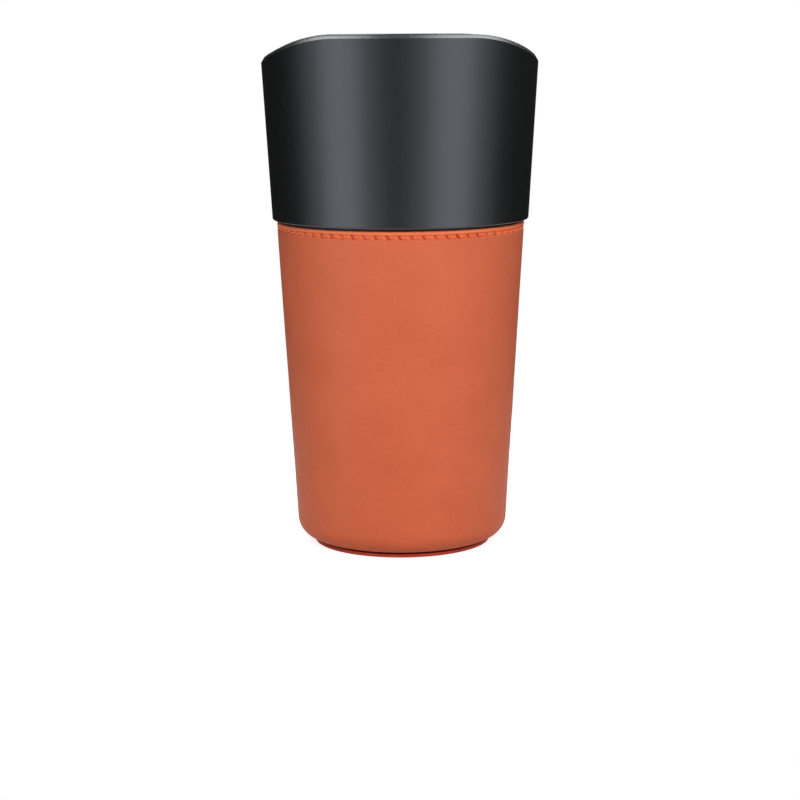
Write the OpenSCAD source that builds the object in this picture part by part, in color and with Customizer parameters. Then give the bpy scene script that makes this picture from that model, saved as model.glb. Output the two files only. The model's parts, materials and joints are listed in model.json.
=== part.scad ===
// Car trash bin for a cup holder. A moulded cup wears a stitched leather sleeve, and a black
// collar with a wave-shaped rim plugs into it and carries a swing flap that centres by weight.
// Millimetres, +Z up, origin in the middle of the base, front towards -Y.

/* [Overall] */
// Height from the base to the highest part of the rim
total_h = 170; // [160:1:190]
// Height of the collar's lower edge above the base
collar_z = 109.5; // [98:0.1:114]
// Outside diameter that the sleeve's slope reaches at the base plane
body_base_d = 69.9; // [66:0.1:74]
// Outside diameter of the sleeve at the collar's lower edge
body_top_d = 82.7; // [80:0.1:88]
// Outside diameter of the collar at the highest part of the rim
collar_top_d = 92.4; // [90:0.1:100]

/* [Wave rim] */
// Width of the level stretch of the rim, front and back
rim_flat_w = 43.5; // [30:0.5:50]
// How far the rim dips at its two sides
rim_dip = 8.3; // [5:0.1:11]
// Bevel along the rim's outer edge
lip_bevel = 1.1; // [0.5:0.05:1.2]
// Bevel along the rim's inner edge
lip_inner_bevel = 0.4; // [0.2:0.05:0.6]

/* [Collar] */
// Wall of the collar
collar_wall = 2.6; // [1.8:0.1:2.8]
// How far the collar stands out past the sleeve
collar_overhang = 1.35; // [1.2:0.05:2.2]
// Rounding of the collar's lower outer edge
collar_edge_r = 0.7; // [0.4:0.1:1.6]
// Gap between the collar's wall and the outside of the cup's edge
channel_gap = 0.7; // [0.4:0.1:0.9]
// How deep the plug reaches into the cup
plug_depth = 16; // [10:1:24]
// Wall of the plug
plug_wall = 1.8; // [1.4:0.1:2.4]
// Gap between the plug and the cup
plug_gap = 0.35; // [0.25:0.05:0.5]
// How far the grip bead stands out from the plug
bead_h = 0.15; // [0.05:0.05:0.15]
// Thickness of the web that lies on the cup's edge
web_t = 1.8; // [1.4:0.1:3]
// Rise of the sloped web, so that litter slides in
web_rise = 3; // [1.5:0.5:6]

/* [Cup] */
// Wall of the cup
cup_wall = 2; // [1.5:0.1:2.6]
// Thickness of the cup's floor
cup_floor = 2.2; // [1.6:0.1:3.5]
// Rounding inside the cup at its floor
cup_corner_r = 4; // [2:0.5:6]
// How far the cup's edge rises above the collar's lower edge
cup_rise = 3.5; // [2:0.5:6]
// Bevel on both sides of the cup's edge
cup_edge = 0.4; // [0.2:0.1:0.6]

/* [Leather] */
// Thickness of the sleeve
leather_t = 1.4; // [1:0.1:1.8]
// Rounding of the sleeve's lower corner
body_corner_r = 6.5; // [5:0.5:8]
// Glue line between the sleeve and the cup
glue_gap = 0.05; // [0.03:0.01:0.08]
// Gap between the sleeve's top and the collar's lower edge
hem_gap = 0.8; // [0.2:0.1:1]
// Radius of the folded hem
hem_r = 0.8; // [0.6:0.05:0.9]
// How far the hem bulges out past the sleeve
hem_bulge = 0.05; // [0:0.05:0.35]
// Diameter of the base disc
base_d = 59.4; // [54:0.1:62]
// Thickness of the base disc
base_t = 1.75; // [1.5:0.05:3]
// Rounding of the base disc's upper edge
base_top_r = 0.4; // [0.3:0.05:0.5]
// Rounding of the base disc's lower edge
base_low_r = 0.3; // [0.2:0.05:0.4]
// Width of the base disc's thinned border
skive_w = 2; // [1:0.1:3]
// How far the thinned border lies below the disc's top
skive_depth = 0.6; // [0.2:0.1:0.6]
// Width of the sleeve's edge that is turned in over the base disc
turn_in_w = 5.5; // [4:0.5:9]

/* [Stitches] */
// Pitch of the stitches
stitch_pitch = 3.9; // [3:0.1:5]
// Diameter of the thread
thread_d = 0.6; // [0.4:0.05:0.7]
// Space between one stitch and the next
stitch_space = 0.8; // [0.5:0.1:1.2]
// Slant of the stitches below the hem
stitch_slant = 14; // [0:1:20]
// How far the row of stitches lies below the collar's lower edge
stitch_drop = 2.7; // [2.2:0.1:3.6]
// Depth of the furrow that the thread lies in
furrow_depth = 0.6; // [0.2:0.05:0.7]
// Distance of the back seam's stitches from its edge
seam_margin = 2.2; // [1.5:0.1:4]

/* [Swing flap] */
// How far the pivot lies below the highest part of the rim
pivot_drop = 7; // [6.5:0.5:12]
// Swing of the flap to each side
swing = 80; // [60:1:85]
// Diameter of the pivot pins
pin_d = 3; // [2:0.1:3.4]
// Running clearance of the pins, on the radius
pin_gap = 0.05; // [0.02:0.01:0.09]
// Material around a pin in the pivot blocks
block_wall = 2.8; // [2:0.1:3.2]
// How far the pivot blocks stand in from the collar's wall
block_reach = 2.6; // [2:0.1:5]
// Thickness of the flap's ears
ear_t = 3; // [2:0.1:5]
// Material around a pin in the ears
ear_wall = 2.1; // [1.5:0.1:2.3]
// Gap at rest between the flap's edge and the collar
flap_gap = 1.2; // [0.9:0.1:2.5]
// Thickness of the flap
flap_t = 1.8; // [1.4:0.1:2.6]
// Depth of the flap's skirt, from its top face
skirt_depth = 5; // [3:0.5:8]
// Thickness of the skirt
skirt_t = 1.5; // [1.2:0.1:2.4]
// Width of the level border around the flap's sunk middle
border_w = 6; // [5:0.5:9]
// How far the flap's middle is sunk
sunk_depth = 0.4; // [0.1:0.1:0.8]
// Thickness of the ribs under the flap
rib_t = 1.2; // [0.8:0.1:2]
// Distance of each rib from the flap's middle
rib_x = 13; // [8:1:24]

/* [Hidden] */
$fn = 96;
tiny = 0.01;

// Tapers of the sleeve and of the collar, as radius gained for each millimetre of height
body_slope = (body_top_d - body_base_d) / 2 / collar_z;
collar_base_d = body_top_d + 2 * collar_overhang;
collar_slope = (collar_top_d - collar_base_d) / 2 / (total_h - collar_z);

// Radii at height z: sleeve outside, cup outside and inside, collar outside and inside
function body_r(z) = body_base_d / 2 + body_slope * z;
function cup_r(z) = body_r(z) - leather_t;
function cup_in_r(z) = cup_r(z) - cup_wall;
function collar_r(z) = collar_base_d / 2 + collar_slope * (z - collar_z);
function collar_in_r(z) = collar_r(z) - collar_wall;
function plug_r(z) = cup_in_r(z) - plug_gap;
function channel_r(z) = cup_r(z) + channel_gap;

// Levels of the cup, from the turned-in leather up to the edge that the collar lies on
turned_z = base_t + leather_t;
floor_z = turned_z + cup_floor;
cup_top = collar_z + cup_rise;
plug_low = cup_top - plug_depth;
plug_lead = 0.6;
bead_r = 0.8;

// Inner radius of the sleeve's turned-in edge, and the cup's pad inside it
turned_r = base_d / 2 - turn_in_w;
pad_gap = 0.2;

// Hem and furrow of the sleeve
sleeve_top = collar_z - hem_gap;
hem_z = sleeve_top - hem_r;
stitch_z = collar_z - stitch_drop;
stitch_l = stitch_pitch - stitch_space;
furrow_h = stitch_l * sin(stitch_slant) + 2 * thread_d * cos(stitch_slant);
stitch_count = round(2 * PI * body_r(stitch_z) / stitch_pitch);
thread_gap = 0.05;
seam_w = 0.5;
seam_low = base_t + body_corner_r + 1;
seam_high = stitch_z - furrow_h / 2 - 1;
seam_turn = seam_margin / body_r(collar_z / 2) * 180 / PI;

// Wave of the rim: level in the middle, then an arc down to each side
rim_run = collar_top_d / 2 - rim_flat_w / 2;
rim_arc_r = (rim_run * rim_run + rim_dip * rim_dip) / 2 / rim_dip;
rim_steps = 120;
rim_spare = 1;
function rim_z(x) = let (run = max(0, abs(x) - rim_flat_w / 2))
    total_h - rim_arc_r + sqrt(rim_arc_r * rim_arc_r - run * run);

// Pivot: the blocks' round ends and flat sides keep stop_gap to the flap's top face
pivot_z = total_h - pivot_drop;
stop_gap = 0.3;
block_r = pin_d / 2 + block_wall;
block_below_rim = 2;
block_top = pivot_drop - block_below_rim;
block_face = collar_in_r(pivot_z) - block_reach;
pin_cover = 0.9;
pin_end_gap = 0.1;
pin_seat_gap = 0.02;
pin_seat_end = collar_r(pivot_z) - pin_cover;
pin_end = pin_seat_end - pin_end_gap;
pin_point = 0.3;
pin_head_d = pin_d + 1.8;
pin_head_t = 0.8;
pin_head_gap = 0.15;

// Flap: its top face lies skin_drop below the pivot, and its skirt follows the sphere that
// its edge sweeps
ear_gap = 0.3;
ear_out = block_face - ear_gap;
ear_in = ear_out - ear_t;
ear_r = pin_d / 2 + ear_wall;
ear_foot = 2;
skin_drop = block_r + stop_gap;
flap_z = pivot_z - skin_drop;
flap_r = collar_in_r(flap_z) - flap_gap;
function swept_r(down) = sqrt(flap_r * flap_r + skin_drop * skin_drop - down * down);
skirt_low_r = swept_r(skin_drop + skirt_depth);
rib_depth = skirt_depth - 1;

// Centre radius of a rounding of radius r that touches a wall of the given slope from inside
function round_centre(wall_r, slope, r) = wall_r - r * sqrt(1 + slope * slope);

// Half section of a tapered, round-cornered tumbler that is base_r wide at z = 0
module tumbler_half(base_r, low, high, corner) {
    mid_z = low + corner;
    mid_r = round_centre(base_r + body_slope * mid_z, body_slope, corner);
    lean = atan(body_slope);
    polygon([[0, low], [mid_r, low],
             [mid_r + corner * cos(lean), mid_z - corner * sin(lean)],
             [base_r + body_slope * high, high], [0, high]]);
    translate([mid_r, mid_z]) circle(r = corner);
}

module cup() {
    color("#1d1d20") rotate_extrude() difference() {
        union() {
            tumbler_half(cup_r(0), turned_z, cup_top, body_corner_r - leather_t);
            translate([0, base_t]) square([turned_r - pad_gap, leather_t + tiny]);
        }
        tumbler_half(cup_in_r(0), floor_z, cup_top + 1, cup_corner_r);
        edge_bevel(cup_r(cup_top), -1);
        edge_bevel(cup_in_r(cup_top), 1);
    }
}

// Cuts the cup's edge back at radius r, on its outer (-1) or inner (1) side
module edge_bevel(r, side) {
    polygon([[r + side * cup_edge, cup_top], [r - side, cup_top + 1],
             [r - side, cup_top - cup_edge - 1], [r, cup_top - cup_edge]]);
}

module leather_sleeve() {
    color("#d2683f") difference() {
        rotate_extrude() difference() {
            union() {
                tumbler_half(body_r(0), base_t, hem_z, body_corner_r);
                hem_section();
            }
            tumbler_half(cup_r(0) + glue_gap, turned_z - glue_gap, collar_z,
                         body_corner_r - leather_t);
            square([turned_r, collar_z]);
            furrow_section();
        }
        seam_edge();
        seam_furrow();
    }
}

// The hem: the leather is folded over, so its top is round and a little thicker
module hem_section() {
    mid_r = body_r(hem_z) + hem_bulge - hem_r;
    low_z = stitch_z + furrow_h / 2;
    polygon([[cup_r(low_z), low_z], [body_r(low_z), low_z], [mid_r + hem_r, hem_z],
             [mid_r, sleeve_top], [cup_r(sleeve_top), sleeve_top]]);
    translate([mid_r, hem_z]) circle(r = hem_r);
}

// The furrow that the stitches pull into the leather below the hem
module furrow_section() {
    half = furrow_h / 2;
    side = half + furrow_depth / 2;
    polygon([[body_r(stitch_z - half) - furrow_depth, stitch_z - half],
             [body_r(stitch_z - side) + tiny, stitch_z - side],
             [body_r(stitch_z) + 1, stitch_z - side],
             [body_r(stitch_z) + 1, stitch_z + side],
             [body_r(stitch_z + side) + tiny, stitch_z + side],
             [body_r(stitch_z + half) - furrow_depth, stitch_z + half]]);
}

// Places what lies on the sleeve's slope at the back, with its Z along the slope
module on_back(turn) {
    rotate([0, 0, turn]) translate([0, body_r(0), 0]) rotate([-atan(body_slope), 0, 0]) children();
}

// Edge of the lapped leather at the back
module seam_edge() {
    on_back(0) translate([-seam_w / 2, -furrow_depth, seam_low])
        cube([seam_w, furrow_depth + 1, seam_high - seam_low]);
}

// Furrow of the back seam's stitches
module seam_furrow() {
    width = thread_d + 4 * thread_gap;
    on_back(-seam_turn) translate([-width / 2, -furrow_depth, seam_low])
        cube([width, furrow_depth + 1, seam_high - seam_low]);
}

// One stitch of thread along Z, with round ends
module stitch() {
    round_l = stitch_l - thread_d;
    rotate_extrude($fn = 24) intersection() {
        union() {
            square([thread_d / 2, round_l], center = false);
            circle(d = thread_d);
            translate([0, round_l]) circle(d = thread_d);
        }
        translate([0, -thread_d]) square([thread_d, stitch_l + thread_d]);
    }
}

module top_stitching() {
    thread_r = body_r(stitch_z) - furrow_depth + thread_gap + thread_d / 2;
    color("#ec7440") for (i = [0 : stitch_count - 1])
        rotate([0, 0, (i + 0.5) * 360 / stitch_count]) translate([thread_r, 0, stitch_z])
            rotate([stitch_slant - 90, 0, 0]) translate([0, 0, (thread_d - stitch_l) / 2]) stitch();
}

module seam_stitching() {
    count = floor((seam_high - seam_low - stitch_l) / stitch_pitch);
    first = (seam_low + seam_high - count * stitch_pitch - stitch_l + thread_d) / 2;
    color("#ec7440") on_back(-seam_turn) for (i = [0 : count])
        translate([0, thread_d / 2 + thread_gap - furrow_depth, first + i * stitch_pitch]) stitch();
}

// The disc's border is thinned, so a groove shows between it and the sleeve's lower corner
module base_disc() {
    edge_r = base_d / 2;
    edge_z = base_t - skive_depth;
    color("#b9442c") rotate_extrude() {
        polygon([[0, 0], [edge_r - base_low_r, 0], [edge_r, base_low_r],
                 [edge_r, edge_z - base_top_r], [edge_r - base_top_r, edge_z],
                 [edge_r - skive_w, edge_z], [edge_r - skive_w - skive_depth, base_t],
                 [0, base_t]]);
        translate([edge_r - base_low_r, base_low_r]) circle(r = base_low_r);
        translate([edge_r - base_top_r, edge_z - base_top_r]) circle(r = base_top_r);
    }
}

module collar() {
    color("#2b2c2e") difference() {
        union() {
            rotate_extrude() collar_section();
            for (side = [-1, 1]) pivot_block(side);
        }
        rim_cut();
        for (side = [-1, 1]) along_pivot(side)
            translate([0, 0, block_face - 1])
                cylinder(r = pin_d / 2 + pin_seat_gap, h = pin_seat_end - block_face + 1);
    }
}

// Section of the collar: outer wall, sloped web on the cup's edge, and plug with grip bead
module collar_section() {
    wall_low = collar_r(collar_z) - channel_r(collar_z);
    edge = min(collar_edge_r, wall_low - plug_gap / 2);
    lean = atan(collar_slope);
    mid_z = collar_z + edge;
    mid_r = round_centre(collar_r(mid_z), collar_slope, edge);
    web_z = cup_top + web_t;
    polygon([[channel_r(collar_z), collar_z], [mid_r, collar_z],
             [mid_r + edge * cos(lean), mid_z - edge * sin(lean)],
             [collar_r(total_h), total_h], [collar_in_r(total_h), total_h],
             [collar_in_r(web_z + web_rise), web_z + web_rise],
             [plug_r(web_z) - plug_wall, web_z],
             [plug_r(plug_low) - plug_wall, plug_low],
             [plug_r(plug_low) - plug_lead, plug_low],
             [plug_r(plug_low + plug_lead), plug_low + plug_lead],
             [plug_r(cup_top), cup_top], [channel_r(cup_top), cup_top]]);
    translate([mid_r, mid_z]) intersection() {
        circle(r = edge);
        translate([0, -edge]) square([edge, 2 * edge]);
    }
    translate([plug_r(plug_low + plug_depth / 3) + bead_h - bead_r, plug_low + plug_depth / 3])
        circle(r = bead_r);
}

// Turns Z into the pivot's axis, outwards at the front (-1) or the rear (1)
module along_pivot(side) {
    translate([0, 0, pivot_z]) rotate([0, 0, side > 0 ? 0 : 180]) rotate([-90, 0, 0]) children();
}

// Keystone-shaped block: its round end carries the pin, and its sides stop the flap's swing
module pivot_block(side) {
    lean = 90 - swing;
    top_x = (block_r + block_top * sin(lean)) / cos(lean);
    along_pivot(side) translate([0, 0, block_face])
        linear_extrude(collar_wall / 2 + block_reach) {
            circle(r = block_r);
            polygon([[block_r * cos(lean), block_r * sin(lean)], [top_x, -block_top],
                     [-top_x, -block_top], [-block_r * cos(lean), block_r * sin(lean)]]);
        }
}

// Cutter above the wave-shaped rim: a ring whose underside is the rim with its two bevels
module rim_cut() {
    sides = [for (i = [0 : rim_steps - 1]) rim_cut_section(i * 360 / rim_steps)];
    n = len(sides[0]);
    polyhedron(
        points = [for (side = sides) each side],
        faces = [for (i = [0 : rim_steps - 1]) for (j = [0 : n - 1])
            let (a = i * n + j, b = i * n + (j + 1) % n,
                 k = (i + 1) % rim_steps * n, c = k + (j + 1) % n, d = k + j)
            each [[a, b, c], [a, c, d]]]);
}

// Points of the cutter at one bearing, from the inner top anticlockwise
function rim_cut_section(turn) =
    let (wall_z = rim_z(collar_r(total_h) * cos(turn)),
         out = collar_r(wall_z),
         in = collar_in_r(wall_z),
         above = total_h + rim_spare,
         ring = [[min(in, collar_in_r(total_h)) - rim_spare, undef],
                 [in - rim_spare, -lip_inner_bevel - rim_spare],
                 [in + lip_inner_bevel, 0],
                 [out - lip_bevel, 0],
                 [out + rim_spare, -lip_bevel - rim_spare],
                 [max(out, collar_r(total_h)) + rim_spare, undef]])
    [for (p = ring) [p[0] * cos(turn), p[0] * sin(turn),
                     is_undef(p[1]) ? above : rim_z(p[0] * cos(turn)) + p[1]]];

// A pivot pin: shank in the block and the ear, and a head that keeps the ear on
module pivot_pin(side) {
    low = ear_in - pin_head_gap;
    shank_r = pin_d / 2;
    color("silver") along_pivot(side) rotate_extrude($fn = 48)
        polygon([[0, low - pin_head_t], [pin_head_d / 2 - pin_point, low - pin_head_t],
                 [pin_head_d / 2, low - pin_head_t + pin_point], [pin_head_d / 2, low],
                 [shank_r, low], [shank_r, pin_end - pin_point],
                 [shank_r - pin_point, pin_end], [0, pin_end]]);
}

module pivot_pin_front() { pivot_pin(-1); }
module pivot_pin_rear() { pivot_pin(1); }

module swing_flap() {
    color("#242528") difference() {
        union() {
            rotate_extrude() flap_section();
            for (side = [-1, 1]) {
                flap_ear(side);
                flap_rib(side);
            }
        }
        for (side = [-1, 1]) along_pivot(side)
            translate([0, 0, ear_in - 1]) cylinder(r = pin_d / 2 + pin_gap, h = ear_t + 2);
    }
}

// Section of the flap: skin with a sunk middle, and skirt
module flap_section() {
    border_r = flap_r - border_w;
    skin_low = flap_z - flap_t;
    skirt_low = flap_z - skirt_depth;
    inner_r = skirt_low_r - skirt_t;
    polygon([[0, skin_low], [inner_r, skin_low], [inner_r, skirt_low], [skirt_low_r, skirt_low],
             [swept_r(pivot_z - skin_low), skin_low], [flap_r, flap_z],
             [border_r, flap_z], [border_r - sunk_depth, flap_z - sunk_depth],
             [0, flap_z - sunk_depth]]);
}

// Ear that turns on a pin
module flap_ear(side) {
    along_pivot(side) translate([0, 0, ear_in]) linear_extrude(ear_t) {
        circle(r = ear_r);
        polygon([[-ear_r, 0], [ear_r, 0], [ear_r + ear_foot, skin_drop + flap_t / 2],
                 [-ear_r - ear_foot, skin_drop + flap_t / 2]]);
    }
}

// Rib under the flap, from skirt to skirt beside the pivot's axis
module flap_rib(side) {
    reach = sqrt(pow(skirt_low_r - skirt_t / 2, 2) - pow(rib_x + rib_t / 2, 2));
    translate([side * rib_x - rib_t / 2, -reach, flap_z - rib_depth])
        cube([rib_t, 2 * reach, rib_depth - flap_t / 2]);
}

cup();
leather_sleeve();
top_stitching();
seam_stitching();
base_disc();
collar();
pivot_pin_front();
pivot_pin_rear();
swing_flap();
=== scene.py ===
import json
import math

import bmesh
import bpy
from mathutils import Matrix, Vector, noise


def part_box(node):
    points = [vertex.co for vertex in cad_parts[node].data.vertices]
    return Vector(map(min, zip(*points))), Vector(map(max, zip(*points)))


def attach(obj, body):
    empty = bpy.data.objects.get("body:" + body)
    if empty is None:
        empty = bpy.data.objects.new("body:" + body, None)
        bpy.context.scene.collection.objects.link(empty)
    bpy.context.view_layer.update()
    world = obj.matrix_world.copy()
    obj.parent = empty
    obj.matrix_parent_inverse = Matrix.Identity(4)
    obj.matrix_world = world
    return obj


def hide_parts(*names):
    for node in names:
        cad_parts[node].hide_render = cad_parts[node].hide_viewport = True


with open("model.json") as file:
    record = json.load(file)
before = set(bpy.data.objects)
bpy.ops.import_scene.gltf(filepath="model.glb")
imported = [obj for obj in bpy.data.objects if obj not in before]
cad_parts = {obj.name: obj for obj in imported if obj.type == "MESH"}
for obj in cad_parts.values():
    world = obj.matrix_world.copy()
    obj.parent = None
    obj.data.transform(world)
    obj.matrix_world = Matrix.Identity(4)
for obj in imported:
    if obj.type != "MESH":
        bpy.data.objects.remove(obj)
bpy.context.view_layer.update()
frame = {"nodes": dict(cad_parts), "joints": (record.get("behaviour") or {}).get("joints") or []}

# The studio: a camera pitched ten degrees down at the bin's front, a small round pale table
# and soft boxes: two tall ones that draw the collar's upright highlights, each with a wide dim
# edge, two above its lip, and front and rear lights. Its sizes are in metres, the bin's in mm.
MM = 0.001
IMAGE_PX = 800
FOCAL_PX = 2129.4
SENSOR_MM = 36
CAMERA_PITCH = 10
CAMERA_ROLL = -0.305
CAMERA_BEARING = -2
CAMERA_DISTANCE = 0.71196
CAMERA_HEIGHT = 0.17313
CAMERA_SHIFT_PX = -1.5
BACKDROP_WHITE = 1.0
BACKDROP_IN_GLOSS = 0.005
FILL_LIGHT = 0.52
TABLE_R = 0.24
TABLE_STEPS = 96
FLOOR_COLOUR = (0.7, 0.7, 0.7, 1)
FLOOR_GLOW = 0.77
FLOOR_IN_GLOSS = 0.3
COOL = (0.93, 1, 1.12)

camera_data = bpy.data.cameras.new("camera")
camera_data.sensor_width = SENSOR_MM
camera_data.lens = FOCAL_PX * SENSOR_MM / IMAGE_PX
camera_data.shift_x = CAMERA_SHIFT_PX / IMAGE_PX
camera = bpy.data.objects.new("camera", camera_data)
bearing = math.radians(CAMERA_BEARING)
camera.location = (CAMERA_DISTANCE * math.sin(bearing), -CAMERA_DISTANCE * math.cos(bearing),
                   CAMERA_HEIGHT)
aim = (Matrix.Rotation(bearing, 3, "Z") @ Matrix.Rotation(math.radians(90 - CAMERA_PITCH), 3, "X")
       @ Matrix.Rotation(math.radians(CAMERA_ROLL), 3, "Z"))
camera.rotation_euler = aim.to_euler()
bpy.context.scene.collection.objects.link(camera)
bpy.context.scene.camera = camera
bpy.context.scene.view_settings.view_transform = "Standard"


def soft_box(name, bearing, height, distance, size, watts, aim, gleam=False, tint=(1, 1, 1)):
    """A rectangular lamp; bearing 0 is below the camera, and aim is the point it faces.

    A gleam is seen only in gloss, and any other lamp only lights what is matt.
    """
    lamp = bpy.data.lights.new(name, "AREA")
    lamp.shape = "RECTANGLE"
    lamp.size, lamp.size_y = size
    lamp.energy = watts
    lamp.color = tint
    box = bpy.data.objects.new(name, lamp)
    turn = math.radians(bearing + CAMERA_BEARING)
    box.location = (distance * math.sin(turn), -distance * math.cos(turn), height)
    box.rotation_euler = (Vector(aim) - box.location).to_track_quat("-Z", "Y").to_euler()
    box.visible_camera = False
    box.visible_glossy = gleam
    box.visible_diffuse = not gleam
    bpy.context.scene.collection.objects.link(box)


soft_box("key", 7, 0.34, 0.47, (0.3, 0.2), 1.4, (0, 0, 0.1))
soft_box("rear_key", 187, 0.25, 0.6, (0.4, 0.3), 1.5, (0, 0, 0.09))
soft_box("left_gleam", -49.5, 0, 0.8, (0.49, 1.3), 3.9, (0, 0, 0), gleam=True, tint=COOL)
soft_box("left_gleam_edge", -49.5, 0, 0.8, (1.25, 1.3), 2.4, (0, 0, 0), gleam=True)
soft_box("right_gleam", 44.5, 0, 0.8, (0.51, 1.3), 3.9, (0, 0, 0), gleam=True, tint=COOL)
soft_box("right_gleam_edge", 44.5, 0, 0.8, (1.3, 1.3), 2.8, (0, 0, 0), gleam=True)
soft_box("left_lip_gleam", -101, 0.83, 0.44, (0.54, 0.54), 5.6, (0, 0, 0.165), gleam=True)
soft_box("right_lip_gleam", 99.5, 0.8, 0.48, (0.77, 0.77), 10, (0, 0, 0.165), gleam=True)
soft_box("rear_gleam", 180, -0.2, 0.8, (0.3, 0.35), 1.0, (0, 0, 0.1), gleam=True)

world = bpy.data.worlds.new("studio")
world.use_nodes = True
bpy.context.scene.world = world
backdrop = world.node_tree.nodes["Background"]
backdrop.inputs["Color"].default_value = (1, 1, 1, 1)


def add_node(tree, kind, **values):
    """Adds a node and sets its inputs; a name's underscores stand for spaces."""
    node = tree.nodes.new(kind)
    for key, value in values.items():
        if hasattr(node, key):
            setattr(node, key, value)
        else:
            node.inputs[key.replace("_", " ")].default_value = value
    return node


def link(tree, source, target):
    """Links a socket to a target, or sets the target to a plain number or colour."""
    if isinstance(source, bpy.types.NodeSocket):
        tree.links.new(source, target)
    elif isinstance(source, tuple):
        target.default_value = (*source, 1)
    else:
        target.default_value = source


def choose(tree, factor, plain, chosen):
    """A number that is plain where factor is 0 and chosen where it is 1."""
    mix = add_node(tree, "ShaderNodeMix")
    link(tree, factor, mix.inputs["Factor"])
    link(tree, plain, mix.inputs["A"])
    link(tree, chosen, mix.inputs["B"])
    return mix.outputs["Result"]


def mirror_ray(tree, ray):
    """1 for a ray that gloss, metal or glass sends on, otherwise 0."""
    either = add_node(tree, "ShaderNodeMath", operation="MAXIMUM")
    link(tree, ray.outputs["Is Glossy Ray"], either.inputs[0])
    link(tree, ray.outputs["Is Transmission Ray"], either.inputs[1])
    return either.outputs[0]


ray = add_node(world.node_tree, "ShaderNodeLightPath")
lit = choose(world.node_tree, mirror_ray(world.node_tree, ray), FILL_LIGHT, BACKDROP_IN_GLOSS)
shown = choose(world.node_tree, ray.outputs["Is Camera Ray"], lit, BACKDROP_WHITE)
link(world.node_tree, shown, backdrop.inputs["Strength"])

floor_paint = bpy.data.materials.new("pale_floor")
floor_paint.use_nodes = True
floor_tree = floor_paint.node_tree
floor_shader = floor_tree.nodes["Principled BSDF"]
floor_shader.inputs["Base Color"].default_value = FLOOR_COLOUR
floor_shader.inputs["Roughness"].default_value = 0.9
floor_shader.inputs["Specular IOR Level"].default_value = 0.1
floor_shader.inputs["Emission Color"].default_value = (1, 1, 1, 1)
floor_ray = add_node(floor_tree, "ShaderNodeLightPath")
in_gloss = choose(floor_tree, mirror_ray(floor_tree, floor_ray), 0, FLOOR_IN_GLOSS)
floor_glow = choose(floor_tree, floor_ray.outputs["Is Camera Ray"], in_gloss, FLOOR_GLOW)
link(floor_tree, floor_glow, floor_shader.inputs["Emission Strength"])
floor_mesh = bpy.data.meshes.new("floor")
table_edge = [2 * math.pi * i / TABLE_STEPS for i in range(TABLE_STEPS)]
floor_mesh.from_pydata([(TABLE_R * math.cos(a), TABLE_R * math.sin(a), 0) for a in table_edge],
                       [], [range(TABLE_STEPS)])
floor_mesh.materials.append(floor_paint)
floor = bpy.data.objects.new("floor", floor_mesh)
bpy.context.scene.collection.objects.link(floor)

# The cup: one black moulding that holds the litter. Its underside has a raised pad inside the
# ring where the sleeve is turned in, and its edge goes up inside the collar. Everything turned
# on the bin's axis is a section, with its corners rounded, swept round in small steps.
BODY_BASE_D = 69.9
BODY_TOP_D = 82.7
COLLAR_Z = 109.5
LEATHER_T = 1.4
CUP_WALL = 2.0
CUP_FLOOR = 2.2
BODY_CORNER_R = 6.5
CUP_CORNER_R = 4
CUP_EDGE_R = 0.4
PAD_R = 24
BODY_SLOPE = (BODY_TOP_D - BODY_BASE_D) / 2 / COLLAR_Z
BASE_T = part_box("base_disc")[1][2] / MM
CUP_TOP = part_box("cup")[1][2] / MM
TURNED_Z = BASE_T + LEATHER_T
FLOOR_Z = TURNED_Z + CUP_FLOOR
GUARD = 0.3
ARC_STEPS = 6


def body_r(z):
    return BODY_BASE_D / 2 + BODY_SLOPE * z


def cup_r(z):
    return body_r(z) - LEATHER_T


def rounded(corners, steps=ARC_STEPS, guard=GUARD):
    """Points of a closed outline whose (x, y, radius) corners are rounded.

    A point guard before and after each arc keeps the shading of the flats flat.
    """
    points = []
    for i, corner in enumerate(corners):
        here = Vector(corner[:2])
        radius = corner[2] if len(corner) > 2 else 0
        if not radius:
            points.append(here)
            continue
        before = (Vector(corners[i - 1][:2]) - here)
        after = (Vector(corners[(i + 1) % len(corners)][:2]) - here)
        room_before, room_after = before.length, after.length
        before.normalize()
        after.normalize()
        half_angle = before.angle(after) / 2
        run = radius / math.tan(half_angle)
        centre = here + (before + after).normalized() * radius / math.sin(half_angle)
        if room_before > run + 2 * guard:
            points.append(here + before * (run + guard))
        start = here + before * run - centre
        end = here + after * run - centre
        for k in range(steps + 1):
            points.append(centre + start.slerp(end, k / steps) * radius)
        if room_after > run + 2 * guard:
            points.append(here + after * (run + guard))
    return [tuple(p) for p in points]


def turned(name, section, steps=192, sharp=40):
    """Sweeps section(angle), an anticlockwise loop of (radius, z), round the bin's axis."""
    shell = bmesh.new()
    rings = []
    for i in range(steps):
        angle = 2 * math.pi * i / steps
        rings.append([shell.verts.new((r * MM * math.cos(angle), r * MM * math.sin(angle), z * MM))
                      for r, z in section(angle)])
    count = len(rings[0])
    on_axis = [ring_r < 1e-6 for ring_r, _ in section(0)]
    for i in range(steps):
        here, there = rings[i], rings[(i + 1) % steps]
        for j in range(count):
            k = (j + 1) % count
            if not (on_axis[j] and on_axis[k]):
                shell.faces.new((here[j], there[j], there[k], here[k]))
    bmesh.ops.remove_doubles(shell, verts=shell.verts, dist=1e-4 * MM)
    return as_object(name, shell, sharp)


def as_object(name, shell, sharp=40):
    """Makes a bmesh an object with smooth faces and edges that are sharp above an angle."""
    mesh = bpy.data.meshes.new(name)
    shell.to_mesh(mesh)
    shell.free()
    mesh.shade_smooth()
    mesh.set_sharp_from_angle(angle=math.radians(sharp))
    made = bpy.data.objects.new(name, mesh)
    bpy.context.scene.collection.objects.link(made)
    return made


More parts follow.
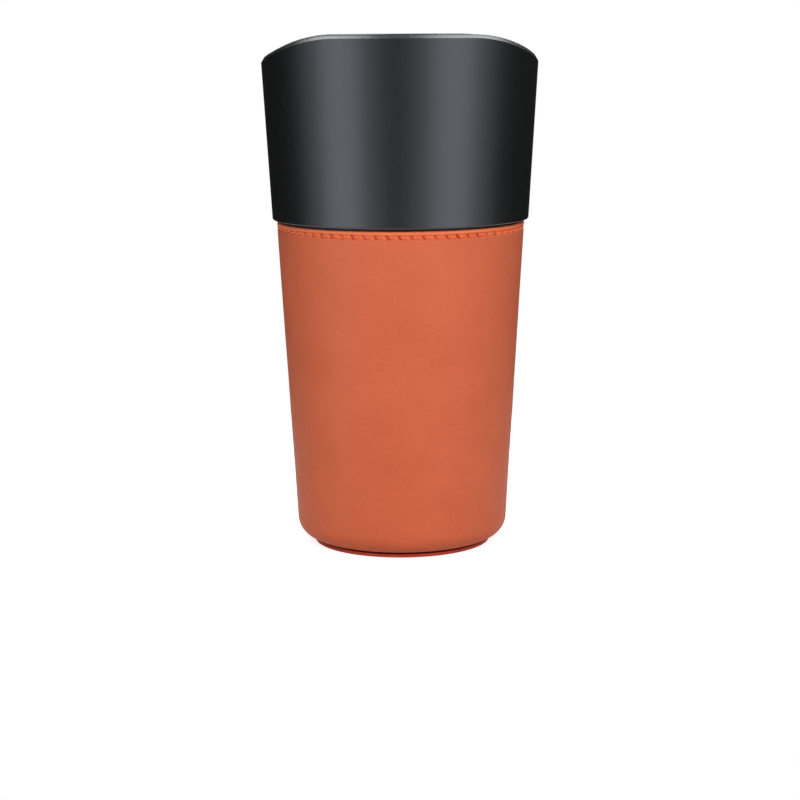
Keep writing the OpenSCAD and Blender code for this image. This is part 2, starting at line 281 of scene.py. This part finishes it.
def finish(name, roughness, **values):
    """A new material and its tree, with constant values set on the shader's own sockets."""
    made = bpy.data.materials.new(name)
    made.use_nodes = True
    shader = made.node_tree.nodes["Principled BSDF"]
    shader.inputs["Roughness"].default_value = roughness
    for key, value in values.items():
        shader.inputs[key.replace("_", " ")].default_value = value
    return made, made.node_tree, shader


def grain(tree, scale, detail=2, stretch=(1, 1, 1)):
    """Noise on object coordinates; scale is in cells per metre."""
    place = add_node(tree, "ShaderNodeTexCoord")
    mapping = add_node(tree, "ShaderNodeMapping", Scale=stretch)
    cells = add_node(tree, "ShaderNodeTexNoise", Scale=scale, Detail=detail)
    link(tree, place.outputs["Object"], mapping.inputs["Vector"])
    link(tree, mapping.outputs["Vector"], cells.inputs["Vector"])
    return cells.outputs["Fac"]


def blend_colours(tree, factor, low, high, start=0.3, end=0.7):
    """A ramp from one colour, or colour socket, to another."""
    spread = add_node(tree, "ShaderNodeMapRange", From_Min=start, From_Max=end)
    mix = add_node(tree, "ShaderNodeMix", data_type="RGBA")
    link(tree, factor, spread.inputs["Value"])
    link(tree, spread.outputs["Result"], mix.inputs["Factor"])
    link(tree, low, mix.inputs[6])
    link(tree, high, mix.inputs[7])
    return mix.outputs[2]


def relief(tree, shader, *layers):
    """Bumps the surface with (height socket, depth in millimetres, strength) layers."""
    normal = None
    for height, depth, strength in layers:
        bump = add_node(tree, "ShaderNodeBump", Strength=strength, Distance=depth * MM)
        link(tree, height, bump.inputs["Height"])
        if normal:
            link(tree, normal, bump.inputs["Normal"])
        normal = bump.outputs["Normal"]
    link(tree, normal, shader.inputs["Normal"])


def vary(tree, shader, socket, factor, low, high):
    """Lets noise move one of the shader's numbers between low and high."""
    spread = add_node(tree, "ShaderNodeMapRange", From_Min=0.3, From_Max=0.7,
                      To_Min=low, To_Max=high)
    link(tree, factor, spread.inputs["Value"])
    link(tree, spread.outputs["Result"], shader.inputs[socket])


cup_section = rounded([
    (0, BASE_T), (PAD_R, BASE_T), (PAD_R, TURNED_Z),
    (cup_r(TURNED_Z), TURNED_Z, BODY_CORNER_R - LEATHER_T),
    (cup_r(CUP_TOP), CUP_TOP, CUP_EDGE_R),
    (cup_r(CUP_TOP) - CUP_WALL, CUP_TOP, CUP_EDGE_R),
    (cup_r(FLOOR_Z) - CUP_WALL, FLOOR_Z, CUP_CORNER_R),
    (0, FLOOR_Z)])
cup = turned("moulded_cup", lambda angle: cup_section)

cup_plastic, tree, shader = finish("cup_plastic", 0.5, Specular_IOR_Level=0.4)
link(tree, blend_colours(tree, grain(tree, 90), (0.014, 0.014, 0.016), (0.022, 0.022, 0.024)),
     shader.inputs["Base Color"])
vary(tree, shader, "Roughness", grain(tree, 300, 3), 0.42, 0.58)
relief(tree, shader, (grain(tree, 2600, 3), 0.02, 0.5), (grain(tree, 220, 2), 0.05, 0.2))
cup.data.materials.append(cup_plastic)
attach(cup, "can")
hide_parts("cup")

# The sleeve: orange leather, cut flat, lapped and sewn at the back, folded into a hem at the
# top and turned in under the cup. The row of stitches pulls a furrow below the hem, and each
# needle hole is a slanted slit whose colour is darkened as painted shade. The leather puffs up
# a little between the holes.
SLEEVE_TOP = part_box("leather_sleeve")[1][2] / MM
STITCH_PITCH = 3.9
STITCH_DROP = 2.7
STITCH_Z = COLLAR_Z - STITCH_DROP
STITCH_COUNT = round(2 * math.pi * body_r(STITCH_Z) / STITCH_PITCH)
HEM_R = 0.8
HEM_BULGE = 0.05
HEM_Z = SLEEVE_TOP - HEM_R
FURROW_DEPTH = 0.6
FURROW_HALF = 0.72
PUCKER_DEPTH = 0.1
PUCKER_REACH = 1.3
SLIT_LEAN = 34
SLIT_UNEVEN = 25
SLIT_HALF_L = 1.0
SLIT_HALF_W = 0.42
SLIT_OPEN = 0.8
SLIT_OPEN_UNEVEN = 0.5
SLIT_TAPER = 0.5
SLIT_DEPTH = 0.5
LAP_STEP = 0.25
LAP_REACH = 9
LAP_CREASE = 0.15
LAP_CREASE_HALF = 0.25
SEAM_BEARING = math.pi / 2
SEAM_MARGIN = 2.2
SEAM_FURROW_HALF = 0.5
SEAM_LOW = BASE_T + BODY_CORNER_R + 1
SEAM_HIGH = STITCH_Z - 2
STEPS_PER_STITCH = 16
HEM_RING_GAP = 0.19
SIDE_RINGS = 24
UNEVEN = 0.07
DENTS = 2.3
SMALL_DENTS = 9
HEM_TINT_FADE = 0.5
MOTTLE_SHARE = 0.35
GLUE = 0.05


def bell(distance, width, power=2):
    return math.exp(-abs(distance / width) ** power)


def slit_at(angle, z):
    """How far into a needle hole a place on the sleeve is, from 0 to 1."""
    turn = 2 * math.pi / STITCH_COUNT
    hole = round(angle / turn)
    chance = noise.noise(Vector((hole % STITCH_COUNT * 1.7 + 0.5, 0.3, 0.8)))
    along_row = (angle - hole * turn) * body_r(STITCH_Z)
    above = z - STITCH_Z
    lean = math.radians(SLIT_LEAN + SLIT_UNEVEN * chance)
    down_slit = along_row * math.cos(lean) - above * math.sin(lean)
    across_slit = along_row * math.sin(lean) + above * math.cos(lean)
    wide_open = SLIT_OPEN + SLIT_OPEN_UNEVEN * chance
    wide_open *= 1 + SLIT_TAPER * down_slit / SLIT_HALF_L
    return wide_open * bell(down_slit, SLIT_HALF_L, 4) * bell(across_slit, SLIT_HALF_W)


def leather_offset(angle, z):
    """How far the leather stands out from an even cone, in millimetres."""
    above = z - STITCH_Z
    offset = -FURROW_DEPTH * bell(above, FURROW_HALF, 4)
    hem_foot = FURROW_HALF * 0.7
    rise = min(1, max(0, (above - hem_foot) / (HEM_Z - STITCH_Z - hem_foot)))
    offset += HEM_BULGE * rise * rise * (3 - 2 * rise)
    pull = (0.5 + 0.5 * math.cos(STITCH_COUNT * angle)) ** 2
    offset -= PUCKER_DEPTH * pull * bell(above, PUCKER_REACH)
    offset -= SLIT_DEPTH * slit_at(angle, z)
    past_seam = (angle - SEAM_BEARING) * body_r(z)
    if -LAP_REACH < past_seam <= 0:
        lap = 1 + past_seam / LAP_REACH
        offset += LAP_STEP * lap * lap * (3 - 2 * lap)
    if past_seam > 0:
        offset -= LAP_STEP * bell(past_seam - LAP_CREASE, LAP_CREASE_HALF)
    if SEAM_LOW < z < SEAM_HIGH:
        offset -= FURROW_DEPTH * bell(past_seam + SEAM_MARGIN, SEAM_FURROW_HALF, 4)
    place = Vector((math.cos(angle), math.sin(angle), z / body_r(z)))
    return (offset + UNEVEN * noise.noise(place * DENTS)
            + UNEVEN / 3 * noise.noise(place * SMALL_DENTS))


def sleeve_outside():
    """(radius, z, share of the leather's offset) from the turned-in edge to the hem's top."""
    corner = rounded([(PAD_R, BASE_T), (body_r(BASE_T), BASE_T, BODY_CORNER_R),
                      (body_r(2 * COLLAR_Z), 2 * COLLAR_Z)], steps=12)
    low = [(r, z, 0) for r, z in corner[:3]] + [
        (r, z, min(1, (z - BASE_T) / BODY_CORNER_R)) for r, z in corner[3:-1]]
    first = low[-1][1]
    hem_low = STITCH_Z - 3 * FURROW_HALF
    side = [first + (hem_low - first) * i / SIDE_RINGS for i in range(1, SIDE_RINGS)]
    hem_rings = math.ceil((HEM_Z - hem_low) / HEM_RING_GAP)
    side += [hem_low + (HEM_Z - hem_low) * i / hem_rings for i in range(hem_rings + 1)]
    points = low + [(body_r(z), z, 1) for z in side]
    middle = body_r(HEM_Z) - HEM_R
    for k in range(1, 9):
        lean = math.radians(k * 22.5)
        points.append((middle + HEM_R * math.cos(lean), HEM_Z + HEM_R * math.sin(lean),
                       0.5 + 0.5 * math.cos(lean)))
    return points


outside = sleeve_outside()
inside = rounded([(cup_r(HEM_Z) + GLUE, HEM_Z),
                  (cup_r(TURNED_Z) + GLUE, TURNED_Z - GLUE, BODY_CORNER_R - LEATHER_T),
                  (PAD_R + 0.2, TURNED_Z - GLUE)])


def sleeve_section(angle):
    return [(r + share * leather_offset(angle, min(z, HEM_Z)), z)
            for r, z, share in outside] + inside


sleeve = turned("leather_body_sleeve", sleeve_section, STITCH_COUNT * STEPS_PER_STITCH, sharp=60)
# Painted shade: each vertex keeps how deep it lies in a needle hole, and that darkens the hole's
# colour.
hole_shade = sleeve.data.attributes.new("needle_hole", "FLOAT", "POINT")
hem = sleeve.data.attributes.new("hem_band", "FLOAT", "POINT")
for vertex in sleeve.data.vertices:
    x, y, z = (value / MM for value in vertex.co)
    bearing = math.atan2(y, x)
    hole_shade.data[vertex.index].value = slit_at(bearing, z)
    hem.data[vertex.index].value = min(1, max(0, (z - STITCH_Z + FURROW_HALF) / HEM_TINT_FADE))

leather, tree, shader = finish("orange_leather", 0.52, Specular_IOR_Level=0.2)
tone = blend_colours(tree, grain(tree, 70, 4), (0.62, 0.122, 0.047), (0.69, 0.144, 0.058))
mottle = blend_colours(tree, grain(tree, 1100, 3), (0.59, 0.113, 0.043), (0.71, 0.150, 0.061))
even = add_node(tree, "ShaderNodeMix", data_type="RGBA")
even.inputs["Factor"].default_value = MOTTLE_SHARE
link(tree, tone, even.inputs[6])
link(tree, mottle, even.inputs[7])
hem_mark = add_node(tree, "ShaderNodeAttribute", attribute_name="hem_band")
hole_shade_mark = add_node(tree, "ShaderNodeAttribute", attribute_name="needle_hole")
on_hem = blend_colours(tree, hem_mark.outputs["Fac"], even.outputs[2], (0.91, 0.212, 0.086), 0, 1)
# Painted shade: the needle holes are painted a dark red-brown where shade falls in them.
hole_shaded = blend_colours(tree, hole_shade_mark.outputs["Fac"], on_hem, (0.5, 0.056, 0.014), 0.1, 0.8)
link(tree, hole_shaded, shader.inputs["Base Color"])
vary(tree, shader, "Roughness", grain(tree, 500, 3), 0.46, 0.6)
pores = add_node(tree, "ShaderNodeTexVoronoi", feature="SMOOTH_F1", Scale=1500, Smoothness=0.6)
pore_place = add_node(tree, "ShaderNodeTexCoord")
link(tree, pore_place.outputs["Object"], pores.inputs["Vector"])
relief(tree, shader, (pores.outputs["Distance"], 0.035, 0.35), (grain(tree, 4200, 3), 0.02, 0.3),
       (grain(tree, 160, 3), 0.12, 0.25))
sleeve.data.materials.append(leather)
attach(sleeve, "can")
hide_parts("leather_sleeve")

# The stitches: thick orange thread of two twisted plies, one stitch to each space between two
# needle holes. Both rows lie on the sleeve's cone, so one tree of Geometry Nodes lays them:
# it sets copies of one stitch at an even turn and rise, with a little seeded unevenness.
THREAD_D = 0.6
PLY_R = THREAD_D * 0.29
PLY_OFFSET = PLY_R * 0.8
END_THINNING = 0.35
STITCH_L = 2.65
STITCH_SLANT = 15
STITCH_DIP = 0.55
PLY_TURNS = 2.5
PLY_SIDES = 7
STITCH_RINGS = 22
ROW_SEED = 7
ROW_UNEVEN = 2.5


def one_stitch():
    """A stitch of two twisted plies along Y, its ends bent down into the leather."""
    shell = bmesh.new()
    for ply in range(2):
        rings = []
        for i in range(STITCH_RINGS + 1):
            share = i / STITCH_RINGS
            twist = 2 * math.pi * (share * PLY_TURNS + ply / 2)
            sink = STITCH_DIP * abs(2 * share - 1) ** 4
            thin = 1 - END_THINNING * abs(2 * share - 1) ** 6
            middle = Vector((math.cos(twist) * PLY_OFFSET - sink, (share - 0.5) * STITCH_L,
                             math.sin(twist) * PLY_OFFSET))
            ring = []
            for k in range(PLY_SIDES):
                side = 2 * math.pi * k / PLY_SIDES
                spread = Vector((math.cos(side), 0, math.sin(side))) * PLY_R * thin
                ring.append(shell.verts.new((middle + spread) * MM))
            rings.append(ring)
        for here, there in zip(rings, rings[1:]):
            for k in range(PLY_SIDES):
                n = (k + 1) % PLY_SIDES
                shell.faces.new((here[k], there[k], there[n], here[n]))
        shell.faces.new(rings[0])
        shell.faces.new(rings[-1][::-1])
    bmesh.ops.recalc_face_normals(shell, faces=shell.faces)
    return as_object("one_stitch", shell, 60)


def stitch_row_tree():
    """Geometry Nodes: copies of a stitch on a cone, each turned and raised by an even step."""
    tree = bpy.data.node_groups.new("stitch_row", "GeometryNodeTree")
    wires = tree.interface
    wires.new_socket("Geometry", in_out="OUTPUT", socket_type="NodeSocketGeometry")
    kinds = {"Count": "NodeSocketInt", "Stitch": "NodeSocketObject",
             "Thread": "NodeSocketMaterial", "Seed": "NodeSocketInt"}
    for name in ("Count", "Stitch", "Thread", "Seed", "First Turn", "Turn", "First Height",
                 "Rise", "Base Radius", "Slope", "Slant", "Unevenness"):
        wires.new_socket(name, in_out="INPUT", socket_type=kinds.get(name, "NodeSocketFloat"))
    given = add_node(tree, "NodeGroupInput").outputs
    index = add_node(tree, "GeometryNodeInputIndex").outputs["Index"]

    def number(operation, *sources):
        node = add_node(tree, "ShaderNodeMath", operation=operation)
        for socket, source in zip(node.inputs, sources):
            link(tree, source, socket)
        return node.outputs[0]

    angle = number("MULTIPLY_ADD", index, given["Turn"], given["First Turn"])
    height = number("MULTIPLY_ADD", index, given["Rise"], given["First Height"])
    radius = number("MULTIPLY_ADD", height, given["Slope"], given["Base Radius"])
    place = add_node(tree, "ShaderNodeCombineXYZ")
    link(tree, number("MULTIPLY", radius, number("COSINE", angle)), place.inputs["X"])
    link(tree, number("MULTIPLY", radius, number("SINE", angle)), place.inputs["Y"])
    link(tree, height, place.inputs["Z"])
    wobble = add_node(tree, "FunctionNodeRandomValue", data_type="FLOAT")
    link(tree, number("MULTIPLY", given["Unevenness"], -1), wobble.inputs[2])
    link(tree, given["Unevenness"], wobble.inputs[3])
    link(tree, given["Seed"], wobble.inputs["Seed"])
    turn = add_node(tree, "ShaderNodeCombineXYZ")
    link(tree, number("ADD", given["Slant"], wobble.outputs[1]), turn.inputs["X"])
    link(tree, number("ARCTANGENT", given["Slope"]), turn.inputs["Y"])
    link(tree, angle, turn.inputs["Z"])
    rotation = add_node(tree, "FunctionNodeEulerToRotation")
    link(tree, turn.outputs[0], rotation.inputs[0])
    points = add_node(tree, "GeometryNodePoints")
    link(tree, given["Count"], points.inputs["Count"])
    link(tree, place.outputs[0], points.inputs["Position"])
    shape = add_node(tree, "GeometryNodeObjectInfo")
    link(tree, given["Stitch"], shape.inputs["Object"])
    copies = add_node(tree, "GeometryNodeInstanceOnPoints")
    link(tree, points.outputs[0], copies.inputs["Points"])
    link(tree, shape.outputs["Geometry"], copies.inputs["Instance"])
    link(tree, rotation.outputs[0], copies.inputs["Rotation"])
    real = add_node(tree, "GeometryNodeRealizeInstances")
    link(tree, copies.outputs[0], real.inputs[0])
    painted = add_node(tree, "GeometryNodeSetMaterial")
    link(tree, real.outputs[0], painted.inputs["Geometry"])
    link(tree, given["Thread"], painted.inputs["Material"])
    link(tree, painted.outputs[0], add_node(tree, "NodeGroupOutput").inputs[0])
    return tree


def lay_row(name, tree, **values):
    """Runs the tree on an empty mesh and returns its result as a plain mesh object."""
    holder = bpy.data.objects.new(name + "_row", bpy.data.meshes.new(name + "_row"))
    bpy.context.scene.collection.objects.link(holder)
    row = holder.modifiers.new("row", "NODES")
    row.node_group = tree
    for socket in tree.interface.items_tree:
        key = socket.name.replace(" ", "_")
        if socket.in_out == "INPUT" and key in values:
            row[socket.identifier] = values[key]
    done = holder.evaluated_get(bpy.context.evaluated_depsgraph_get())
    made = bpy.data.objects.new(name, bpy.data.meshes.new_from_object(done))
    bpy.context.scene.collection.objects.link(made)
    bpy.data.objects.remove(holder)
    return made


thread, tree, shader = finish("orange_thread", 0.6, Specular_IOR_Level=0.3, Sheen_Weight=0.15)
link(tree, blend_colours(tree, grain(tree, 900, 2), (0.82, 0.185, 0.045), (0.95, 0.240, 0.065)),
     shader.inputs["Base Color"])
relief(tree, shader, (grain(tree, 9000, 2, (1, 1, 0.3)), 0.03, 0.4))

stitch = one_stitch()
row_tree = stitch_row_tree()
thread_lift = (THREAD_D / 2 - FURROW_DEPTH) * MM
on_cone = {"Stitch": stitch, "Thread": thread, "Seed": ROW_SEED, "Slope": BODY_SLOPE,
           "Base_Radius": body_r(0) * MM + thread_lift, "Unevenness": math.radians(ROW_UNEVEN)}
top_turn = 2 * math.pi / STITCH_COUNT
top_stitches = lay_row("hem_stitches", row_tree, Count=STITCH_COUNT, First_Turn=top_turn / 2,
                       Turn=top_turn, First_Height=STITCH_Z * MM, Rise=0.0,
                       Slant=math.radians(STITCH_SLANT), **on_cone)
seam_count = int((SEAM_HIGH - SEAM_LOW) / STITCH_PITCH)
seam_first = (SEAM_LOW + SEAM_HIGH - (seam_count - 1) * STITCH_PITCH) / 2
seam_stitches = lay_row("back_seam_stitches", row_tree, Count=seam_count, Turn=0.0,
                        First_Turn=SEAM_BEARING - SEAM_MARGIN / body_r(COLLAR_Z / 2),
                        First_Height=seam_first * MM, Rise=STITCH_PITCH * MM,
                        Slant=math.pi / 2, **on_cone)
bpy.data.objects.remove(stitch)
for row, node in ((top_stitches, "top_stitching"), (seam_stitches, "seam_stitching")):
    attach(row, "can")
    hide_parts(node)

# The base disc: thick leather, cut round and glued under the cup over the sleeve's turned-in
# edge. Its rim is painted a deeper red. Its thinned border leaves a groove, and is painted
# darker still as painted shade in that groove.
BASE_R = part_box("base_disc")[1][0] / MM
BASE_TOP_R = 0.4
BASE_LOW_R = 0.3
SKIVE_W = 2
SKIVE_DEPTH = 0.6
SKIVE_EDGE = 0.12
# Painted shade: the thinned border's dark colour stands for the shade in the groove above it.
SKIVE_PAINTED_SHADE = (0.38, 0.035, 0.012)
skive_z = BASE_T - SKIVE_DEPTH
base_section = rounded([(0, 0), (BASE_R, 0, BASE_LOW_R), (BASE_R, skive_z, BASE_TOP_R),
                        (BASE_R - SKIVE_W, skive_z), (BASE_R - SKIVE_W - SKIVE_DEPTH, BASE_T),
                        (0, BASE_T)])
base = turned("base_leather_disc", lambda angle: base_section)
base_leather, tree, shader = finish("base_leather", 0.55, Specular_IOR_Level=0.3)
paint = blend_colours(tree, grain(tree, 300, 4), (0.62, 0.072, 0.032), (0.74, 0.104, 0.042))
place = add_node(tree, "ShaderNodeTexCoord")
height = add_node(tree, "ShaderNodeSeparateXYZ")
link(tree, place.outputs["Object"], height.inputs["Vector"])
# Painted shade: above the skive's height the disc takes the dark border colour.
link(tree, blend_colours(tree, height.outputs["Z"], paint, SKIVE_PAINTED_SHADE,
                         (skive_z - SKIVE_EDGE) * MM, skive_z * MM), shader.inputs["Base Color"])
vary(tree, shader, "Roughness", grain(tree, 700, 3), 0.48, 0.66)
relief(tree, shader, (grain(tree, 2400, 4), 0.04, 0.4), (grain(tree, 350, 2), 0.08, 0.3))
base.data.materials.append(base_leather)
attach(base, "can")
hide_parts("base_disc")

# The collar: one satin black moulding. Its wall flares up to the wave-shaped rim, which has a
# bevel that catches the light; inside, a sloped web lies on the cup's edge and a plug reaches
# down into the cup. Two keystone-shaped blocks carry the pivot pins and stop the flap's swing.
COLLAR_TOP_D = 92.4
COLLAR_OVERHANG = 1.35
COLLAR_WALL = 2.6
COLLAR_EDGE_R = 0.5
CHANNEL_GAP = 0.7
PLUG_GAP = 0.35
PLUG_WALL = 1.8
WEB_T = 1.8
WEB_RISE = 3
LIP_BEVEL = 1.1
LIP_INNER_BEVEL = 0.4
LIP_ROUND = 0.16
LIP_CROWN_R = 1.1
RIM_FLAT_W = 43.5
RIM_DIP = 8.3
TOTAL_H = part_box("collar")[1][2] / MM
PLUG_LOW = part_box("collar")[0][2] / MM
PIVOT_Z = next(j for j in frame["joints"] if j["name"] == "flap_swing")["pos_m"][2] / MM
SWING = 80
PIN_R = 1.5
BLOCK_R = 4.3
BLOCK_TOP = 5
BLOCK_REACH = 2.6
BLOCK_ROUND = 0.3
PIN_SEAT_GAP = 0.02
PIN_COVER = 0.9
COLLAR_BASE_D = BODY_TOP_D + 2 * COLLAR_OVERHANG
COLLAR_SLOPE = (COLLAR_TOP_D - COLLAR_BASE_D) / 2 / (TOTAL_H - COLLAR_Z)
RIM_RUN = COLLAR_TOP_D / 2 - RIM_FLAT_W / 2
RIM_ARC_R = (RIM_RUN ** 2 + RIM_DIP ** 2) / 2 / RIM_DIP


def collar_r(z):
    return COLLAR_BASE_D / 2 + COLLAR_SLOPE * (z - COLLAR_Z)


def plug_r(z):
    return cup_r(z) - CUP_WALL - PLUG_GAP


def rim_z(x):
    run = max(0, abs(x) - RIM_FLAT_W / 2)
    return TOTAL_H - RIM_ARC_R + math.sqrt(RIM_ARC_R ** 2 - run ** 2)


def collar_section(angle):
    """The collar's section at one bearing: its lip follows the wave of the rim."""
    wall_z = rim_z(collar_r(TOTAL_H) * math.cos(angle))
    out_r, in_r = collar_r(wall_z), collar_r(wall_z) - COLLAR_WALL

    def lip(r, drop, radius=LIP_ROUND):
        return (r, rim_z(r * math.cos(angle)) - drop, radius)

    web_z = CUP_TOP + WEB_T
    return rounded([
        (cup_r(COLLAR_Z) + CHANNEL_GAP, COLLAR_Z, 0.12),
        (collar_r(COLLAR_Z), COLLAR_Z, COLLAR_EDGE_R),
        lip(out_r, LIP_BEVEL), lip(out_r - LIP_BEVEL, 0, LIP_CROWN_R),
        lip(in_r + LIP_INNER_BEVEL, 0), lip(in_r, LIP_INNER_BEVEL),
        (collar_r(web_z + WEB_RISE) - COLLAR_WALL, web_z + WEB_RISE, 1),
        (plug_r(web_z) - PLUG_WALL, web_z, 1),
        (plug_r(PLUG_LOW) - PLUG_WALL, PLUG_LOW, 0.3),
        (plug_r(PLUG_LOW), PLUG_LOW, 0.6),
        (plug_r(CUP_TOP), CUP_TOP), (cup_r(CUP_TOP) + CHANNEL_GAP, CUP_TOP)])


def prism(name, corners, low, high, bevel=0.0):
    """An outline in X and Z, with rounded corners, that reaches from low to high along Y."""
    shell = bmesh.new()
    near = [shell.verts.new((x * MM, low * MM, z * MM)) for x, z in rounded(corners, guard=0.05)]
    face = shell.faces.new(near)
    far = bmesh.ops.extrude_face_region(shell, geom=[face])["geom"]
    bmesh.ops.translate(shell, vec=(0, (high - low) * MM, 0),
                        verts=[v for v in far if isinstance(v, bmesh.types.BMVert)])
    bmesh.ops.recalc_face_normals(shell, faces=shell.faces)
    if bevel:
        rim = [e for e in shell.edges if e.calc_face_angle(0) > math.radians(60)
               and abs(e.verts[0].co.y - e.verts[1].co.y) < 1e-9]
        bmesh.ops.bevel(shell, geom=rim, offset=bevel * MM, segments=2, profile=0.5,
                        affect="EDGES")
    return as_object(name, shell, 35)


def rod(name, radius, low, high, steps=48):
    """A round bar along Y on the pivot's axis."""
    corners = [(radius * math.cos(2 * math.pi * i / steps),
                PIVOT_Z + radius * math.sin(2 * math.pi * i / steps)) for i in range(steps)]
    return prism(name, corners, low, high)


def combine(piece, others, operation, sharp=35):
    """Adds other solids to a piece, or cuts them from it, and removes them."""
    for other in others:
        step = piece.modifiers.new("combine", "BOOLEAN")
        step.operation = operation
        step.solver = "EXACT"
        step.object = other
    done = piece.evaluated_get(bpy.context.evaluated_depsgraph_get())
    mesh = bpy.data.meshes.new_from_object(done)
    piece.modifiers.clear()
    piece.data = mesh
    mesh.set_sharp_from_angle(angle=math.radians(sharp))
    for other in others:
        bpy.data.objects.remove(other)


def keystone():
    """Outline of a pivot block: a round lower end, and sides that the flap lies against."""
    lean = math.radians(90 - SWING)
    top_x = (BLOCK_R + BLOCK_TOP * math.sin(lean)) / math.cos(lean)
    arc = [(BLOCK_R * math.cos(a), PIVOT_Z + BLOCK_R * math.sin(a)) for a in
           (-math.pi + lean + (math.pi - 2 * lean) * k / 24 for k in range(25))]
    return [*arc, (top_x, PIVOT_Z + BLOCK_TOP, 0.5), (-top_x, PIVOT_Z + BLOCK_TOP, 0.5)]


collar = turned("satin_collar", collar_section, 288)
inner_r = collar_r(PIVOT_Z) - COLLAR_WALL
block_face = inner_r - BLOCK_REACH
block_back = inner_r + COLLAR_WALL / 2
seat_end = collar_r(PIVOT_Z) - PIN_COVER
combine(collar, [prism("rear_block", keystone(), block_face, block_back, BLOCK_ROUND),
                 prism("front_block", keystone(), -block_back, -block_face, BLOCK_ROUND)],
        "UNION")
seat_r = PIN_R + PIN_SEAT_GAP
combine(collar, [rod("rear_seat", seat_r, block_face - 1, seat_end),
                 rod("front_seat", seat_r, -seat_end, 1 - block_face)], "DIFFERENCE")

satin, tree, shader = finish("satin_black", 0.36, Specular_IOR_Level=0.9,
                             Specular_Tint=(0.95, 0.98, 1.0, 1))
link(tree, blend_colours(tree, grain(tree, 60, 3), (0.0032, 0.0032, 0.0034),
                         (0.0042, 0.0042, 0.0045)), shader.inputs["Base Color"])
vary(tree, shader, "Roughness", grain(tree, 700, 3), 0.34, 0.38)
relief(tree, shader, (grain(tree, 3600, 2), 0.012, 0.35), (grain(tree, 120, 2), 0.05, 0.12))
collar.data.materials.clear()
collar.data.materials.append(satin)
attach(collar, "collar")
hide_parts("collar")

# The two pivot pins: turned steel, pushed from inside through the flap's ears into the blocks.
# Their solids have the right shape, so they only get their finish, with fine turning marks.
pin_steel, tree, shader = finish("pin_steel", 0.3, Metallic=1.0)
link(tree, blend_colours(tree, grain(tree, 500, 2), (0.50, 0.50, 0.51), (0.62, 0.62, 0.62)),
     shader.inputs["Base Color"])
vary(tree, shader, "Roughness", grain(tree, 2500, 2, (1, 0.2, 1)), 0.22, 0.4)
relief(tree, shader, (grain(tree, 6000, 1, (0.1, 1, 0.1)), 0.01, 0.4))
for name in ("pivot_pin_front", "pivot_pin_rear"):
    for place in frame["nodes"][name].material_slots:
        place.material = pin_steel

# The swing flap: a satin black disc with a sunk middle, a skirt that follows the sphere its
# edge sweeps, two stiffening ribs below, and two ears above that turn on the pins. It hangs
# level because its weight is below the pivot.
FLAP_T = 1.8
SKIRT_T = 1.5
SKIRT_DEPTH = 5
BORDER_W = 6
SUNK_DEPTH = 0.4
EAR_GAP = 0.3
EAR_T = 3
EAR_R = 3.6
EAR_FOOT = 2
PIN_GAP = 0.05
RIB_T = 1.2
RIB_X = 13
SKIN_DROP = BLOCK_R + 0.3
FLAP_Z = PIVOT_Z - SKIN_DROP
FLAP_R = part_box("swing_flap")[1][0] / MM
SKIRT_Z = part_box("swing_flap")[0][2] / MM


def swept_r(z):
    return math.sqrt(FLAP_R ** 2 + SKIN_DROP ** 2 - (PIVOT_Z - z) ** 2)


border_r = FLAP_R - BORDER_W
skirt_in = swept_r(SKIRT_Z) - SKIRT_T
flap_section = rounded([
    (0, FLAP_Z - FLAP_T), (skirt_in, FLAP_Z - FLAP_T, 0.6), (skirt_in, SKIRT_Z, 0.3),
    (swept_r(SKIRT_Z), SKIRT_Z, 0.4), (swept_r(FLAP_Z - FLAP_T), FLAP_Z - FLAP_T),
    (FLAP_R, FLAP_Z, 0.5), (border_r, FLAP_Z, 0.2),
    (border_r - SUNK_DEPTH, FLAP_Z - SUNK_DEPTH, 0.2), (0, FLAP_Z - SUNK_DEPTH)])
flap = turned("satin_swing_flap", lambda angle: flap_section, 256)
ear_out = block_face - EAR_GAP
ear_in = ear_out - EAR_T
in_skin = FLAP_Z - FLAP_T / 2
ear_outline = [(-EAR_R - EAR_FOOT, in_skin), (EAR_R + EAR_FOOT, in_skin)] + [
    (EAR_R * math.cos(a), PIVOT_Z + EAR_R * math.sin(a)) for a in
    (math.pi * k / 24 for k in range(25))]
rib_reach = math.sqrt((swept_r(SKIRT_Z) - SKIRT_T / 2) ** 2 - (RIB_X + RIB_T / 2) ** 2)
additions = [prism("rear_ear", ear_outline, ear_in, ear_out, 0.25),
             prism("front_ear", ear_outline, -ear_out, -ear_in, 0.25)]
for side in (-RIB_X, RIB_X):
    rib_low = FLAP_Z - (SKIRT_DEPTH - 1)
    additions.append(prism("rib", [
        (side - RIB_T / 2, rib_low, 0.2), (side + RIB_T / 2, rib_low, 0.2),
        (side + RIB_T / 2, in_skin), (side - RIB_T / 2, in_skin)], -rib_reach, rib_reach))
combine(flap, additions, "UNION")
combine(flap, [rod("rear_bore", PIN_R + PIN_GAP, ear_in - 1, ear_out + 1),
               rod("front_bore", PIN_R + PIN_GAP, -ear_out - 1, 1 - ear_in)], "DIFFERENCE")

flap_black, tree, shader = finish("flap_black", 0.4, Specular_IOR_Level=0.5)
link(tree, blend_colours(tree, grain(tree, 80, 3), (0.013, 0.013, 0.0145), (0.018, 0.018, 0.02)),
     shader.inputs["Base Color"])
vary(tree, shader, "Roughness", grain(tree, 600, 3), 0.37, 0.45)
relief(tree, shader, (grain(tree, 3000, 2), 0.012, 0.4), (grain(tree, 150, 2), 0.04, 0.15))
flap.data.materials.clear()
flap.data.materials.append(flap_black)
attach(flap, "flap")
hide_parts("swing_flap")
